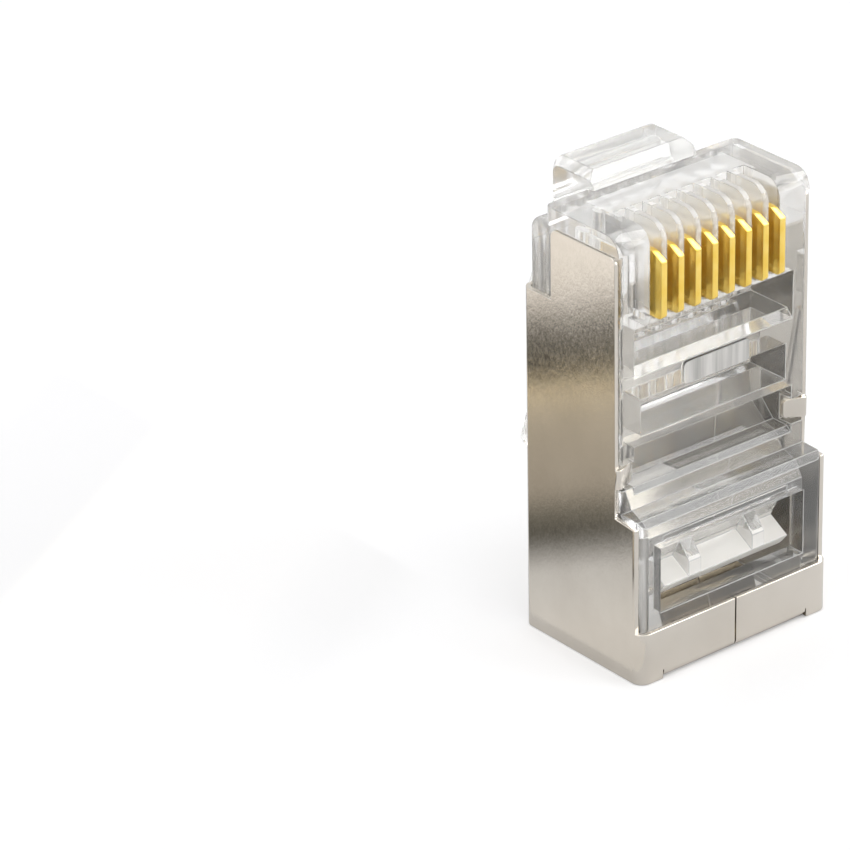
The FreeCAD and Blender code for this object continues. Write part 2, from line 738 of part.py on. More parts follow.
def make_latch():
    """The sprung lever: a wide arm with two stop shoulders, then the narrow thumb lever."""
    body = new_body("latch_lever")
    knuckle = draw_circle(new_sketch(body, "knuckle", "YZ"), ("hinge_axis", "hinge_height"),
                          "knuckle_radius")
    extrude(body, "Pad", knuckle, "latch_width", symmetric=True)
    profile_pad(body, "arm", [
        ("hinge_axis + knuckle_radius", "hinge_height"), ("stop_face", "stop_height"),
        ("stop_face - stop_depth", "stop_height"),
        ("hinge_axis - knuckle_radius", "hinge_height")], "latch_width")
    solid = profile_pad(body, "lever", [
        ("stop_face", "stop_height"), ("kink_face", "kink_height"), ("tip_face", "tip_height"),
        ("tip_face - tip_depth", "tip_height - tip_rake"),
        ("kink_face - kink_depth", "kink_height"), ("stop_face - stop_depth", "stop_height")],
        "lever_width")
    solid = fillet(body, solid, "lever_round", "x", y="tip_face", z="tip_height")
    fillet(body, solid, "lever_round", "x", y="tip_face - tip_depth", z="tip_height - tip_rake")
    return body


# --- contacts ---------------------------------------------------------------------------------


def blade_outline():
    """The stamped blade: sloped nose, three piercing teeth on the wire side."""
    places = [
        ("blade_front", "blade_bottom"), ("blade_front", "blade_top - blade_slope"),
        ("blade_front + blade_slope_run", "blade_top"), ("blade_back", "blade_top")]
    for tooth in reversed(range(TEETH)):
        low = f"blade_bottom + tooth_margin + {tooth} * tooth_pitch"
        places += [("blade_back", f"{low} + tooth_width"),
                   ("blade_back + tooth_length", f"{low} + tooth_width / 2"), ("blade_back", low)]
    return places + [("blade_back", "blade_bottom")]


def make_contact(number):
    body = new_body(f"contact_{number}")
    solid = profile_pad(body, "blade", blade_outline(), "blade_gauge")
    fillet(body, solid, "blade_foot", "x", y="blade_front", z="blade_bottom")
    place = number - (CONTACTS + 1) / 2
    body.setExpression("Placement.Base.x", bound(f"contact_pitch * ({place})"))
    return body


# --- the plug ---------------------------------------------------------------------------------

bodies = [make_shield(), make_housing(), make_latch()]
bodies += [make_contact(number) for number in range(1, CONTACTS + 1)]
doc.recompute()

for item in doc.Objects:
    if "Invalid" in item.State or "Error" in item.State:
        raise ValueError(f"{item.Name} is {item.State}")

for body in bodies:
    if body.Shape.isNull() or not body.Shape.isValid() or len(body.Shape.Solids) != 1:
        raise ValueError(f"{body.Label} is not one valid solid")

os.makedirs("parts", exist_ok=True)
for body in bodies:
    body.Shape.exportStep(f"parts/{body.Label}.step")
    print(body.Label, round(body.Shape.Volume, 3), body.Shape.BoundBox)
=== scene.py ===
# %% [markdown]
# # A clear modular plug in a folded metal shield
# This lesson dresses a finished CAD model of a small network plug. The CAD model gives every
# piece its exact size and place. The cells below soften each piece's edges, add the flexing web
# of the latch, and make the three finishes: nickel-plated sheet, clear moulded plastic and gold
# plate. The plug stands on its cable end, with Z running up to its nose. The contacts are on the
# -Y side and the latch is on the +Y side. Blender works in metres, so lengths that are written in
# millimetres are multiplied by MM.

import math

import bpy
from mathutils import Matrix, Vector


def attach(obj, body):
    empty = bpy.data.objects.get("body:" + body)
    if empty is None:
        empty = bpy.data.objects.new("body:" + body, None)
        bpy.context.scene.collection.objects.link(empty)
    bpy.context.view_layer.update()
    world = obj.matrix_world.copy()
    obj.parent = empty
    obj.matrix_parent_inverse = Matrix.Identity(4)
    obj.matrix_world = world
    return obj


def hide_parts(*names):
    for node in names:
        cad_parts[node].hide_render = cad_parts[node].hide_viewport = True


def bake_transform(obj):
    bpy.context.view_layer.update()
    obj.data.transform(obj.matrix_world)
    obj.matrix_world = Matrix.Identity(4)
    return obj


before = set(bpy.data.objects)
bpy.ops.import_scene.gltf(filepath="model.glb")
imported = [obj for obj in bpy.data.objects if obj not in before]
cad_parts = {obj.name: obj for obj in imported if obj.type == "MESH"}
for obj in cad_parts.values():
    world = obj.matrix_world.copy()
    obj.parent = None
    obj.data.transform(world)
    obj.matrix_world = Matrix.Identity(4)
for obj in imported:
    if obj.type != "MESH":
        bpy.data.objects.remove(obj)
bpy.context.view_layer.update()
MM = 0.001
print("pieces:", sorted(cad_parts))

# %% [markdown]
# ## The camera
# A small product is usually shot with a long lens from a little above, so its edges stay nearly
# parallel. The camera could be aimed with a Track To constraint, but that always keeps it level,
# and this one leans by about a degree. So its three axes are written down as the columns of a
# matrix: right, up and back. A camera in Blender looks along its own -Z, with +Y up.

# %% Camera
AZIMUTH = math.radians(-38.579)
ELEVATION = math.radians(26.862)
ROLL = math.radians(-1.097)
DISTANCE = 233.494 * MM
SIDEWAYS = 11.196 * MM
UPWARDS = 1.146 * MM
AIM = Vector((0, 0.632 * MM, 11 * MM))
SENSOR_WIDTH = 36
LENS = 215.06
NEAREST = 0.01
FARTHEST = 10


def camera_axes(azimuth, elevation, roll):
    """The right, up and back directions of a camera at an azimuth and elevation."""
    back = Vector((math.sin(azimuth) * math.cos(elevation),
                   -math.cos(azimuth) * math.cos(elevation), math.sin(elevation)))
    right = Vector((math.cos(azimuth), math.sin(azimuth), 0))
    up = back.cross(right)
    rolled_right = math.cos(roll) * right + math.sin(roll) * up
    rolled_up = math.cos(roll) * up - math.sin(roll) * right
    return rolled_right, rolled_up, back


def add_camera():
    right, up, back = camera_axes(AZIMUTH, ELEVATION, ROLL)
    place = AIM - SIDEWAYS * right - UPWARDS * up + DISTANCE * back
    data = bpy.data.cameras.new("camera")
    data.sensor_width = SENSOR_WIDTH
    data.lens = LENS
    data.clip_start = NEAREST
    data.clip_end = FARTHEST
    camera = bpy.data.objects.new("camera", data)
    bpy.context.scene.collection.objects.link(camera)
    turn = Matrix((right, up, back)).transposed().to_4x4()
    camera.matrix_world = Matrix.Translation(place) @ turn
    bpy.context.scene.camera = camera
    return camera


camera = add_camera()
print("camera stands at", [round(value, 4) for value in camera.location])

# %% [markdown]
# ## Small helpers for node materials
# A material is a graph of nodes. It could be drawn by hand in the shader editor, but a script
# keeps its recipe in plain sight. These helpers add a node, set its sockets and join it to the
# next one, so that each finish below reads in a few lines.

# %% Node helpers


def add_node(material, kind, **sockets):
    """A new node with its input sockets set; a socket's name is written with underscores."""
    node = material.node_tree.nodes.new(kind)
    for name, value in sockets.items():
        node.inputs[name.replace("_", " ")].default_value = value
    return node


def join(material, source, target):
    material.node_tree.links.new(source, target)


def new_material(name):
    """An empty material, and its Principled shader."""
    material = bpy.data.materials.new(name)
    material.use_nodes = True
    return material, material.node_tree.nodes["Principled BSDF"]


print("node helpers ready")

# %% [markdown]
# ## Patterns
# Grain, haze and ripples are small random patterns. A painted image would need the surface to be
# unwrapped, and it blurs when the camera comes close. A noise worked out from the place on the
# piece does neither. Its scale counts the cells in a metre, so 9000 gives a grain of about a
# tenth of a millimetre. A ramp then turns the noise into colours or greys.

# %% Pattern helpers


def object_coordinates(material, stretch=(1, 1, 1)):
    """Object coordinates, scaled so that a pattern can be stretched along an axis."""
    source = add_node(material, "ShaderNodeTexCoord")
    mapping = add_node(material, "ShaderNodeMapping", Scale=stretch)
    join(material, source.outputs["Object"], mapping.inputs["Vector"])
    return mapping.outputs["Vector"]


def noise(material, place, scale, detail, roughness):
    node = add_node(material, "ShaderNodeTexNoise", Scale=scale, Detail=detail,
                    Roughness=roughness)
    join(material, place, node.inputs["Vector"])
    return node.outputs["Fac"]


def grey(value):
    return value, value, value


def ramp(material, source, stops):
    """A colour ramp through (position, colour) stops."""
    node = add_node(material, "ShaderNodeValToRGB")
    elements = node.color_ramp.elements
    while len(elements) < len(stops):
        elements.new(0.5)
    for element, (position, colour) in zip(elements, stops):
        element.position = position
        element.color = (*colour, 1)
    join(material, source, node.inputs["Fac"])
    return node.outputs["Color"]


def bump(material, height, strength, distance):
    node = add_node(material, "ShaderNodeBump", Strength=strength, Distance=distance)
    join(material, height, node.inputs["Height"])
    return node.outputs["Normal"]


print("pattern helpers ready")

# %% [markdown]
# ## Places on a piece
# One finish can change from place to place: metal gets a painted shade inside a fold, and plastic
# is milkier where it is finely cut. Separate materials could show that, but they can only change
# from face to face, and weights painted on the mesh would be lost when its edges are bevelled. A
# test on the coordinates, such as whether a point lies inside a box, works on any mesh.

# %% Place helpers


def calculate(material, operation, *values):
    """A Math node; each value is a number or the output of another node."""
    node = add_node(material, "ShaderNodeMath")
    node.operation = operation
    for socket, value in zip(node.inputs, values):
        if isinstance(value, (int, float)):
            socket.default_value = value
        else:
            join(material, value, socket)
    return node.outputs["Value"]


def mixed_colour(material, share, first, second):
    """The first colour where share is 0 and the second where it is 1."""
    node = add_node(material, "ShaderNodeMixRGB")
    join(material, share, node.inputs["Fac"])
    for name, colour in (("Color1", first), ("Color2", second)):
        if isinstance(colour, tuple):
            node.inputs[name].default_value = (*colour, 1)
        else:
            join(material, colour, node.inputs[name])
    return node.outputs["Color"]


def separate(material, output):
    """The X, Y and Z of the surface's own coordinates or of its own normal."""
    source = add_node(material, "ShaderNodeTexCoord")
    node = add_node(material, "ShaderNodeSeparateXYZ")
    join(material, source.outputs[output], node.inputs["Vector"])
    return node.outputs


def inside_box(material, place, middle, reach):
    """1 inside a box given in millimetres by its middle and its reach each way, 0 outside it."""
    tests = [calculate(material, "COMPARE", place[axis], centre * MM, half * MM)
             for axis, centre, half in zip("XYZ", middle, reach)]
    both = calculate(material, "MULTIPLY", tests[0], tests[1])
    return calculate(material, "MULTIPLY", both, tests[2])


print("place helpers ready")

# %% [markdown]
# ## Nickel plate
# The shield is thin sheet, plated a warm light grey. Rolled sheet keeps a very fine grain, longer
# one way than the other, so it is satin rather than mirror bright. An even roughness would look
# like grey plastic, and an anisotropic shader would need tangents on every face. A stretched
# noise needs none, and it gives the grain to both the roughness and the bump. A slow second noise
# lets the tone wander a little, as plating does. Inside, near the cable end, the sheet's inner
# faces are painted dark brown. This is a painted shade for the dark inside of the plug, and it
# shows through the clear plastic.

# %% Nickel plate
GRAIN_SCALE = 9000
GRAIN_DEPTH = 0.008 * MM
CLOUD_SCALE = 260
# A dark brown painted shade for the sheet's inner faces near the cable end.
PAINTED_SHADE_TONE = (0.26, 0.22, 0.16)
INNER_TOP = 7.5 * MM
INNER_SIDE = 4 * MM
TONGUES = ((0, -2.6, 1.5), (5.5, 1.35, 1.25))


def painted_shade_faces(material):
    """Where the painted shade goes: 1 on the sheet's inner faces near the cable end, 0 elsewhere.

    X times the normal's own X is far below zero only where a side panel faces inwards.
    """
    place = separate(material, "Object")
    facing = separate(material, "Normal")
    low = calculate(material, "LESS_THAN", place["Z"], INNER_TOP)
    outwards = calculate(material, "MULTIPLY", place["X"], facing["X"])
    inwards = calculate(material, "LESS_THAN", outwards, -INNER_SIDE)
    side_panel = calculate(material, "MULTIPLY", low, inwards)
    to_contact_side = calculate(material, "LESS_THAN", facing["Y"], -0.5)
    tongue = calculate(material, "MULTIPLY", inside_box(material, place, *TONGUES),
                       to_contact_side)
    return calculate(material, "MAXIMUM", side_panel, tongue)


def make_nickel():
    material, shader = new_material("nickel_plate")
    grain = noise(material, object_coordinates(material, (1, 1, 0.5)), GRAIN_SCALE,
                  detail=3, roughness=0.7)
    cloud = noise(material, object_coordinates(material), CLOUD_SCALE, detail=3, roughness=0.5)
    tone = ramp(material, cloud, [(0.3, (0.60, 0.56, 0.50)), (0.7, (0.67, 0.63, 0.57))])
    # The inner faces near the cable end get the dark painted shade.
    tone = mixed_colour(material, painted_shade_faces(material), tone, PAINTED_SHADE_TONE)
    rough = ramp(material, grain, [(0.3, grey(0.10)), (0.7, grey(0.20))])
    join(material, tone, shader.inputs["Base Color"])
    join(material, rough, shader.inputs["Roughness"])
    normal = bump(material, grain, strength=0.6, distance=GRAIN_DEPTH)
    join(material, normal, shader.inputs["Normal"])
    shader.inputs["Metallic"].default_value = 1.0
    return material


nickel = make_nickel()
print("finish:", nickel.name)

# %% [markdown]
# ## Where the plastic is milky
# The housing and the latch are moulded in clear plastic, but not every part of them looks equally
# clear. The nose, cut up by the comb that guides the contacts, looks frosted. The strain-relief
# bar in the window is nearly white, and the pad above it carries fine upright streaks. A volume
# shader could cloud them from within, but it is slow and noisy. So each part is a box on the
# piece, and lowers the share of light that its surface lets through.

# %% Milky parts
MILKY_PARTS = {
    "strain_bar": ((0, -2.75, 4.45), (3.81, 0.85, 0.75)),
    "bar_pad": ((0, -2.68, 14.2), (1.99, 0.03, 0.53)),
    "comb": ((0, -1.3, 20.0), (3.9, 1.0, 2.0)),
    "nose_top": ((0, 0.5, 22.0), (4.1, 1.1, 1.0)),
}
BODY_CLEARNESS = 0.94
NOSE_CLEARNESS = 0.78
NOSE_START = 19.6 * MM
NOSE_FULL = 20.8 * MM
STREAK_SCALE = 3000


def clearness_of(material, place, parts):
    """The share of light that goes through: lower in the nose and in the milky parts."""
    nose = add_node(material, "ShaderNodeMapRange", From_Min=NOSE_START, From_Max=NOSE_FULL,
                    To_Min=BODY_CLEARNESS, To_Max=NOSE_CLEARNESS)
    join(material, place["Z"], nose.inputs["Value"])
    streaks = noise(material, object_coordinates(material, (1, 1, 0.04)), STREAK_SCALE,
                    detail=2, roughness=0.5)
    veil = calculate(material, "MULTIPLY_ADD", streaks, -0.8, -0.12)
    changes = {"strain_bar": -0.75, "bar_pad": veil, "comb": -0.18, "nose_top": -0.3}
    clearness = nose.outputs["Result"]
    for name, change in changes.items():
        clearness = calculate(material, "MULTIPLY_ADD", parts[name], change, clearness)
    return clearness


print("milky parts:", ", ".join(MILKY_PARTS))

# %% [markdown]
# ## Clear plastic
# Most of the light that meets the plastic is bent and goes on, and a little is scattered by its
# milkiness. Glass shaders throw shadows that are far too dark, because they let no lamp light
# straight through, and following every bend would take very long to render. So a see-through
# shader is mixed in: a small share of it for what the camera sees, and a large share for shadows,
# for soft bounces and for light that has already crossed several walls.

# %% Clear plastic
RIPPLE_SCALE = 500
RIPPLE_DEPTH = 0.03 * MM
HAZE_SCALE = 2600
LATCH_ROOT = ((0, 4, 21.5), (3.2, 1.9, 1.6))
# A grey painted shade that darkens the thick latch root.
PAINTED_ROOT_SHADE = (0.90, 0.90, 0.89)
WARM_TINT = (0.99, 0.97, 0.93)
PLASTIC_IOR = 1.49
SEE_THROUGH_ALWAYS = 0.08
SEE_THROUGH_MORE = 0.87
WALLS_CROSSED = 3.5


def tint_of(material, place, ripple, parts):
    """Nearly colourless, greyed by a painted shade in the latch root, and warmer at bar and pad.
    """
    tint = ramp(material, ripple, [(0.3, (0.975, 0.975, 0.97)), (0.7, (0.995, 0.995, 0.99))])
    # The latch root gets the grey painted shade.
    root = inside_box(material, place, *LATCH_ROOT)
    tint = mixed_colour(material, root, tint, PAINTED_ROOT_SHADE)
    warm = calculate(material, "MAXIMUM", parts["bar_pad"], parts["strain_bar"])
    return mixed_colour(material, warm, tint, WARM_TINT)


def let_light_through(material, shader):
    """Mixes a see-through shader with the plastic, and joins both to the material's output."""
    path = add_node(material, "ShaderNodeLightPath").outputs
    soft = calculate(material, "MAXIMUM", path["Is Shadow Ray"], path["Is Diffuse Ray"])
    deep = calculate(material, "GREATER_THAN", path["Ray Depth"], WALLS_CROSSED)
    passing = calculate(material, "MAXIMUM", soft, deep)
    share = calculate(material, "MULTIPLY_ADD", passing, SEE_THROUGH_MORE, SEE_THROUGH_ALWAYS)
    straight = add_node(material, "ShaderNodeBsdfTransparent", Color=(0.98, 0.98, 0.975, 1))
    mix = add_node(material, "ShaderNodeMixShader")
    join(material, share, mix.inputs["Fac"])
    join(material, shader.outputs["BSDF"], mix.inputs[1])
    join(material, straight.outputs["BSDF"], mix.inputs[2])
    output = material.node_tree.nodes["Material Output"]
    join(material, mix.outputs["Shader"], output.inputs["Surface"])


def make_clear():
    material, shader = new_material("clear_plastic")
    place = separate(material, "Object")
    parts = {name: inside_box(material, place, *box) for name, box in MILKY_PARTS.items()}
    ripple = noise(material, object_coordinates(material), RIPPLE_SCALE, detail=2, roughness=0.4)
    haze = noise(material, object_coordinates(material), HAZE_SCALE, detail=3, roughness=0.5)
    tint = tint_of(material, place, ripple, parts)
    rough = ramp(material, haze, [(0.35, grey(0.02)), (0.75, grey(0.06))])
    normal = bump(material, ripple, strength=0.008, distance=RIPPLE_DEPTH)
    clearness = clearness_of(material, place, parts)
    join(material, tint, shader.inputs["Base Color"])
    join(material, rough, shader.inputs["Roughness"])
    join(material, normal, shader.inputs["Normal"])
    join(material, clearness, shader.inputs["Transmission Weight"])
    shader.inputs["IOR"].default_value = PLASTIC_IOR
    let_light_through(material, shader)
    return material


clear = make_clear()
print("finish:", clear.name)

# %% [markdown]
# ## Frosted edges
# The rounded edges of a moulding are a little rougher than its flat walls, because a tool's
# corners are hard to polish. Under a lamp they show as thin pale lines, and these lines are what
# makes clear plastic readable at all. The same plastic on them would vanish, so they get a
# material of their own, paler in the body and clearer in the nose. On the latch root they are
# painted mid grey: a painted shade for the dark outlines that bent light draws there.

# %% Frosted edges
EDGE_TINT = (0.97, 0.97, 0.965)
# A mid grey painted shade for the latch root's edges.
PAINTED_ROOT_EDGE_SHADE = grey(0.62)
EDGE_IOR = 1.4
EDGE_CLEARNESS = 0.95
BODY_EDGE_MILK = 0.4
NOSE_EDGES = 17 * MM


def make_edge():
    material, shader = new_material("frosted_edge")
    place = separate(material, "Object")
    # The latch root's edges get the grey painted shade.
    root = inside_box(material, place, *LATCH_ROOT)
    tint = mixed_colour(material, root, EDGE_TINT, PAINTED_ROOT_EDGE_SHADE)
    below_nose = calculate(material, "LESS_THAN", place["Z"], NOSE_EDGES)
    clearness = calculate(material, "MULTIPLY_ADD", below_nose, -BODY_EDGE_MILK, EDGE_CLEARNESS)
    join(material, tint, shader.inputs["Base Color"])
    join(material, clearness, shader.inputs["Transmission Weight"])
    shader.inputs["Roughness"].default_value = 0.25
    shader.inputs["IOR"].default_value = EDGE_IOR
    return material


edge = make_edge()
print("finish:", edge.name)

# %% [markdown]
# ## Gold plate
# The blades are stamped, then plated with bright gold, a deep yellow that turns amber where one
# blade reflects the next. Stamping leaves fine lines along the blade. They could be cut into the
# mesh, but they are far finer than any face, so a noise drawn out along Z gives them instead. A
# second noise changes the yellow a little from patch to patch.

# %% Gold plate
DRAG_SCALE = 12000
DRAG_DEPTH = 0.003 * MM
PATCH_SCALE = 1500


def make_gold():
    material, shader = new_material("gold_plate")
    drag = noise(material, object_coordinates(material, (1, 1, 0.12)), DRAG_SCALE,
                 detail=3, roughness=0.5)
    patch = noise(material, object_coordinates(material), PATCH_SCALE, detail=3, roughness=0.6)
    tone = ramp(material, patch, [(0.3, (0.90, 0.61, 0.10)), (0.7, (0.97, 0.72, 0.20))])
    rough = ramp(material, drag, [(0.3, grey(0.16)), (0.7, grey(0.26))])
    join(material, tone, shader.inputs["Base Color"])
    join(material, rough, shader.inputs["Roughness"])
    normal = bump(material, drag, strength=0.08, distance=DRAG_DEPTH)
    join(material, normal, shader.inputs["Normal"])
    shader.inputs["Metallic"].default_value = 0.8
    return material


gold = make_gold()
print("finish:", gold.name)

# %% [markdown]
# ## Clean copies of the CAD pieces
# A CAD mesh arrives as loose triangles, and a bevel needs whole faces that share their edges. The
# pieces could be modelled again by hand, but the CAD shapes are already right. So each is
# copied, its doubled points are merged, and its flat areas are cleared of spare edges.

# %% Clean copies
SAME_POINT = 0.002 * MM
FLAT_ANGLE = math.radians(1)


def select_only(piece):
    bpy.ops.object.select_all(action="DESELECT")
    piece.select_set(True)
    bpy.context.view_layer.objects.active = piece


def clean_copy(node, name):
    """A copy of a CAD piece with its points merged and its flat faces whole."""
    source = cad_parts[node]
    piece = source.copy()
    piece.data = source.data.copy()
    piece.name = name
    piece.parent = None
    bpy.context.scene.collection.objects.link(piece)
    select_only(piece)
    bpy.ops.object.mode_set(mode="EDIT")
    bpy.ops.mesh.select_all(action="SELECT")
    bpy.ops.mesh.remove_doubles(threshold=SAME_POINT)
    bpy.ops.mesh.dissolve_limited(angle_limit=FLAT_ANGLE)
    bpy.ops.mesh.normals_make_consistent(inside=False)
    bpy.ops.object.mode_set(mode="OBJECT")
    return piece


print("points closer than", SAME_POINT / MM, "mm are merged")

# %% [markdown]
# ## Softened edges
# No real edge is perfectly sharp: sheet rolls over where it is cut, a moulding has the radius of
# its tool, and a stamped blade is burnished by the die. A narrow bevel on every sharp edge
# catches a thin line of light. A bevel node in the material would fake that line, but it is slow
# and is lost outside Blender, so real faces are made. Where many edges meet, a bevel can push a
# point out too far, so every point is kept inside the box of its CAD piece.

# %% Soft edges
SHARP_ANGLE = math.radians(28)
SMOOTH_ANGLE = math.radians(35)


def stay_inside(piece, source):
    """Pulls back any point that the bevel pushed out of the CAD piece's own box."""
    corners = [Vector(corner) for corner in source.bound_box]
    for axis in range(3):
        low = min(corner[axis] for corner in corners)
        high = max(corner[axis] for corner in corners)
        for vertex in piece.data.vertices:
            vertex.co[axis] = min(max(vertex.co[axis], low), high)


def soften(piece, width, edge_slot):
    """A narrow bevel on the sharp edges, in its own material slot, smoothly shaded."""
    bevel = piece.modifiers.new("soft_edges", "BEVEL")
    bevel.width = width
    bevel.segments = 2
    bevel.limit_method = "ANGLE"
    bevel.angle_limit = SHARP_ANGLE
    bevel.use_clamp_overlap = False
    bevel.material = edge_slot
    select_only(piece)
    bpy.ops.object.modifier_apply(modifier=bevel.name)
    bpy.ops.object.shade_smooth_by_angle(angle=SMOOTH_ANGLE)
    level = piece.modifiers.new("level_faces", "WEIGHTED_NORMAL")
    level.mode = "FACE_AREA"
    level.weight = 100
    level.keep_sharp = True
    bpy.ops.object.modifier_apply(modifier=level.name)


print("edges sharper than", round(math.degrees(SHARP_ANGLE)), "degrees are softened")

# %% [markdown]
# ## From CAD piece to finished piece
# The same steps turn every CAD piece into a finished one, so they are written once. The copy then
# stands for its CAD piece, which stays behind, unseen, for the collisions. The copy could be
# parented by hand, but a ride names the body in words.

# %% Dress a piece


def dress(node, name, materials, width, body):
    """A softened copy of a CAD piece, finished and riding on its body."""
    piece = clean_copy(node, name)
    piece.data.materials.clear()
    for material in materials:
        piece.data.materials.append(material)
    soften(piece, width, edge_slot=len(materials) - 1)
    stay_inside(piece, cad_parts[node])
    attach(piece, body)
    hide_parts(node)
    print(name, "has", len(piece.data.polygons), "faces")


# %% [markdown]
# ## The shield
# One folded sheet wraps the back, the two sides and the foot of the contact side. It could be
# folded again here from a flat outline, but its bends have their real radii in the CAD model
# already, so only the cut edges need softening. Shearing rolls such an edge over by a small part
# of the sheet's gauge, and a wider bevel would make thin sheet look cast.

# %% Shield
SHEAR_ROLL = 0.035 * MM

dress("shield", "folded_shield", [nickel], SHEAR_ROLL, "plug")

# %% [markdown]
# ## The clear mouldings
# The housing and the latch lever come out of one tool, so they share one plastic and nearly the
# same corner radius. Each has two materials: the clear plastic on its walls and the frosted one
# on its bevels. The bevel modifier can give its new faces a slot by itself, which saves picking
# hundreds of thin faces by hand. The lever rides on its own body, because it moves.

# %% Housing and latch lever
HOUSING_RADIUS = 0.03 * MM
LEVER_RADIUS = 0.04 * MM

dress("housing", "clear_housing", [clear, edge], HOUSING_RADIUS, "plug")
dress("latch_lever", "latch_lever_moulding", [clear, edge], LEVER_RADIUS, "latch")

# %% [markdown]
# ## The contact blades
# Eight thin blades stand side by side, one for each wire. One blade could be modelled and copied
# along X, but each CAD blade is already in its slot, so a loop dresses all eight in turn. Their
# edges are burnished, and the lamps draw a bright line down each of them.

# %% Contact blades
BLADES = 8
BURNISH = 0.04 * MM

for number in range(1, BLADES + 1):
    dress(f"contact_{number}", f"gold_blade_{number}", [gold], BURNISH, "plug")

# %% [markdown]
# ## The flexing web
# The lever is moulded in one with the block behind the nose and bends at a thin web. The CAD
# model has a rigid hinge there, and a rigid strip would open a gap when the lever is pressed. So
# the web is a curved strip round the hinge axis that blends between the two bodies. A tube is
# made along X, the part that isn't wanted is deleted, and the rest gets its wall and its soft
# edges in edit mode.

# %% Latch web
HINGE = Vector((0, 5.075 * MM, 20 * MM))
WEB_SIDES = 60
WEB_RADIUS = 0.47 * MM
WEB_WIDTH = 5.6 * MM
WEB_WALL = 0.07 * MM
WEB_EDGE = 0.02 * MM
WEB_LOWEST = -50
WEB_HIGHEST = 45
WEB_SHARP = math.radians(60)


def on_web(centre):
    """True for a face of the tube that lies between the latch root and the lever."""
    angle = math.degrees(math.atan2(centre.z, centre.y))
    return WEB_LOWEST < angle < WEB_HIGHEST


def curved_strip():
    """The wanted part of a tube round X, as a strip with no thickness, in edit mode."""
    bpy.ops.mesh.primitive_cylinder_add(vertices=WEB_SIDES, radius=WEB_RADIUS, depth=WEB_WIDTH,
                                        end_fill_type="NOTHING", rotation=(0, math.pi / 2, 0))
    web = bpy.context.object
    web.name = "latch_web"
    bpy.ops.object.transform_apply(location=False, rotation=True, scale=False)
    bpy.ops.object.mode_set(mode="EDIT")
    bpy.ops.mesh.select_mode(type="FACE")
    bpy.ops.mesh.select_all(action="DESELECT")
    bpy.ops.object.mode_set(mode="OBJECT")
    for face in web.data.polygons:
        face.select = not on_web(face.center)
    bpy.ops.object.mode_set(mode="EDIT")
    bpy.ops.mesh.delete(type="FACE")
    return web


def add_web():
    web = curved_strip()
    bpy.ops.mesh.select_all(action="SELECT")
    bpy.ops.mesh.solidify(thickness=WEB_WALL)
    bpy.ops.mesh.select_all(action="SELECT")
    bpy.ops.mesh.normals_make_consistent(inside=False)
    bpy.ops.mesh.select_mode(type="EDGE")
    bpy.ops.mesh.select_all(action="DESELECT")
    bpy.ops.mesh.edges_select_sharp(sharpness=WEB_SHARP)
    bpy.ops.mesh.bevel(offset=WEB_EDGE, segments=2, affect="EDGES")
    bpy.ops.object.mode_set(mode="OBJECT")
    web.location = HINGE
    bpy.ops.object.transform_apply(location=True, rotation=False, scale=False)
    bpy.ops.object.shade_smooth_by_angle(angle=SMOOTH_ANGLE)
    web.data.materials.append(clear)
    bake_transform(web)
    return web


web = add_web()
print("web has", len(web.data.polygons), "faces")

# %% [markdown]
# ## The floor
# The plug stands on a pale floor. A stronger lamp could make it white, but that lamp would bleach
# the plug too. Instead, rays from the camera, and rays that reach the floor through the plastic,
# see it a little brighter than its paint. The light that falls on it still carries the plug's
# soft shadow. It lies a hair below the plug, so that no two surfaces share one plane.

# %% Floor
FLOOR_WIDTH = 2.4
FLOOR_DROP = 0.02 * MM
FLOOR_PAINT = (0.80, 0.80, 0.81, 1)
FLOOR_GLOW = 0.21
WHITE = (1, 1, 1, 1)


def add_floor():
    bpy.ops.mesh.primitive_plane_add(size=FLOOR_WIDTH, location=(0, 0, -FLOOR_DROP))
    floor = bpy.context.object
    floor.name = "floor"
    material, shader = new_material("pale_floor")
    shader.inputs["Base Color"].default_value = FLOOR_PAINT
    shader.inputs["Roughness"].default_value = 0.6
    path = add_node(material, "ShaderNodeLightPath").outputs
    seen = calculate(material, "MAXIMUM", path["Is Camera Ray"], path["Is Transmission Ray"])
    glow = calculate(material, "MULTIPLY", seen, FLOOR_GLOW)
    shader.inputs["Emission Color"].default_value = WHITE
    join(material, glow, shader.inputs["Emission Strength"])
    floor.data.materials.append(material)
    return floor


floor = add_floor()
print("floor is", floor.dimensions.x, "m wide")

# %% [markdown]
# ## A card for the nickel to reflect
# Metal has hardly any look of its own: it shows what stands round it, and in a bare white room
# the side panel would be one even grey. Painting bands on the panel would fix them to it from
# every side. In a product studio a card is held beside the metal instead, and this cell does
# the same: a card with dark and light bands lies on the floor, where only reflections see it.
# Its bands glow by themselves, two of them brighter than white, so they paint a reflection on the
# panel: the dark cloud and bright streaks that a second plug lying beside this one would give.

# %% Reflection card
CARD_MIDDLE = (-40 * MM, 32 * MM, 0.1 * MM)
CARD_SIZE = (67 * MM, 90 * MM, 1)
BANDS_RUN = (-0.512, 0.859, 0)
BANDS_REACH = 50 * MM
# Colours of the glowing bands, a painted reflection: dark for a second plug, brighter than white
# in its streaks.
BANDS = [
    (0.10, (0.92, 0.90, 0.88)), (0.22, (0.80, 0.80, 0.80)), (0.29, (0.11, 0.105, 0.09)),
    (0.335, (0.20, 0.19, 0.16)), (0.385, (0.52, 0.47, 0.40)), (0.57, (0.60, 0.54, 0.44)),
    (0.60, (1.6, 1.35, 0.90)), (0.62, (0.06, 0.055, 0.04)), (0.76, (0.16, 0.155, 0.14)),
    (0.825, (1.3, 1.25, 1.2)),
]


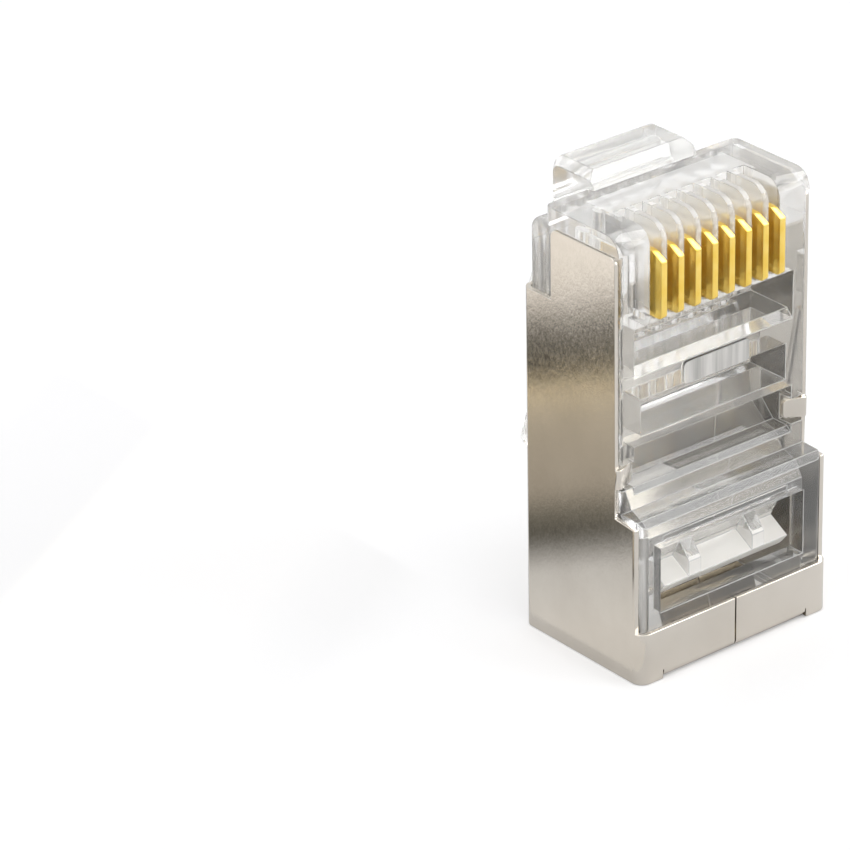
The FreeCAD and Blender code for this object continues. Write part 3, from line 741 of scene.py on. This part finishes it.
def make_bands():
    """Glowing bands of painted reflection that run across the card, away from the plug."""
    material, _ = new_material("glowing_reflection_card")
    place = add_node(material, "ShaderNodeTexCoord")
    across = add_node(material, "ShaderNodeVectorMath")
    across.operation = "DOT_PRODUCT"
    across.inputs[1].default_value = BANDS_RUN
    join(material, place.outputs["Object"], across.inputs[0])
    along = add_node(material, "ShaderNodeMapRange", From_Min=0, From_Max=BANDS_REACH)
    join(material, across.outputs["Value"], along.inputs["Value"])
    glow = add_node(material, "ShaderNodeEmission", Strength=1)
    join(material, ramp(material, along.outputs["Result"], BANDS), glow.inputs["Color"])
    output = material.node_tree.nodes["Material Output"]
    join(material, glow.outputs["Emission"], output.inputs["Surface"])
    return material


def add_card():
    bpy.ops.mesh.primitive_plane_add(size=1, location=CARD_MIDDLE)
    card = bpy.context.object
    card.name = "reflection_card"
    card.scale = CARD_SIZE
    bpy.ops.object.transform_apply(location=True, rotation=False, scale=True)
    card.data.materials.append(make_bands())
    for kind in ("camera", "diffuse", "transmission", "shadow", "volume_scatter"):
        setattr(card, "visible_" + kind, False)
    return card


card = add_card()
print("card covers", [round(value / MM) for value in card.dimensions], "mm")

# %% [markdown]
# ## The white room
# The room is a plain white world. What the camera and the reflections see has a strength of 1, so
# white stays white. The share that lights matt surfaces is held a little lower, so that the lamps
# still shape the plug. One even world would be simpler, but then every side is lit alike.

# %% World
ROOM_SEEN = 1.0
ROOM_LIGHT = 0.7


def make_world():
    world = bpy.data.worlds.new("studio")
    bpy.context.scene.world = world
    world.use_nodes = True
    tree = world.node_tree
    background = tree.nodes["Background"]
    path = tree.nodes.new("ShaderNodeLightPath")
    level = tree.nodes.new("ShaderNodeMapRange")
    level.inputs["To Min"].default_value = ROOM_SEEN
    level.inputs["To Max"].default_value = ROOM_LIGHT
    tree.links.new(path.outputs["Is Diffuse Ray"], level.inputs["Value"])
    tree.links.new(level.outputs["Result"], background.inputs["Strength"])
    background.inputs["Color"].default_value = WHITE
    return world


world = make_world()
print("world:", world.name)

# %% [markdown]
# ## The lamps
# Three square soft boxes stand overhead, on the left and on the right, as in a small product
# studio. Bare bulbs would print hard dots on the metal, while a soft box spreads into a smooth
# glow. A fourth, tall one is there for the edges alone: it draws thin bright lines on metal and
# gold and adds nothing to matt surfaces, so it doesn't wash out the plastic.

# %% Lamps
PLUG_MIDDLE = Vector((0, 0, 11 * MM))


def add_soft_box(name, place, width, power):
    """A square soft box aimed at the middle of the plug."""
    data = bpy.data.lights.new(name, "AREA")
    data.shape = "SQUARE"
    data.size = width
    data.energy = power
    lamp = bpy.data.objects.new(name, data)
    bpy.context.scene.collection.objects.link(lamp)
    lamp.location = place
    lamp.rotation_euler = (PLUG_MIDDLE - Vector(place)).to_track_quat("-Z", "Y").to_euler()
    return lamp


def add_edge_box(name, place, width, height, power):
    """A tall soft box that shows in glossy edges but adds no light to matt surfaces."""
    lamp = add_soft_box(name, place, width, power)
    lamp.data.shape = "RECTANGLE"
    lamp.data.size_y = height
    lamp.visible_diffuse = False
    lamp.visible_transmission = False


add_soft_box("overhead_box", place=(-0.05, -0.05, 0.35), width=0.30, power=0.40)
add_soft_box("left_box", place=(-0.35, -0.05, 0.16), width=0.20, power=0.12)
add_soft_box("right_box", place=(0.25, -0.30, 0.15), width=0.20, power=0.30)
add_edge_box("edge_box", place=(0.184, -0.075, 0.22), width=0.22, height=0.24, power=0.65)
bpy.context.scene.view_settings.view_transform = "Standard"
print("lamps:", len(bpy.data.lights))
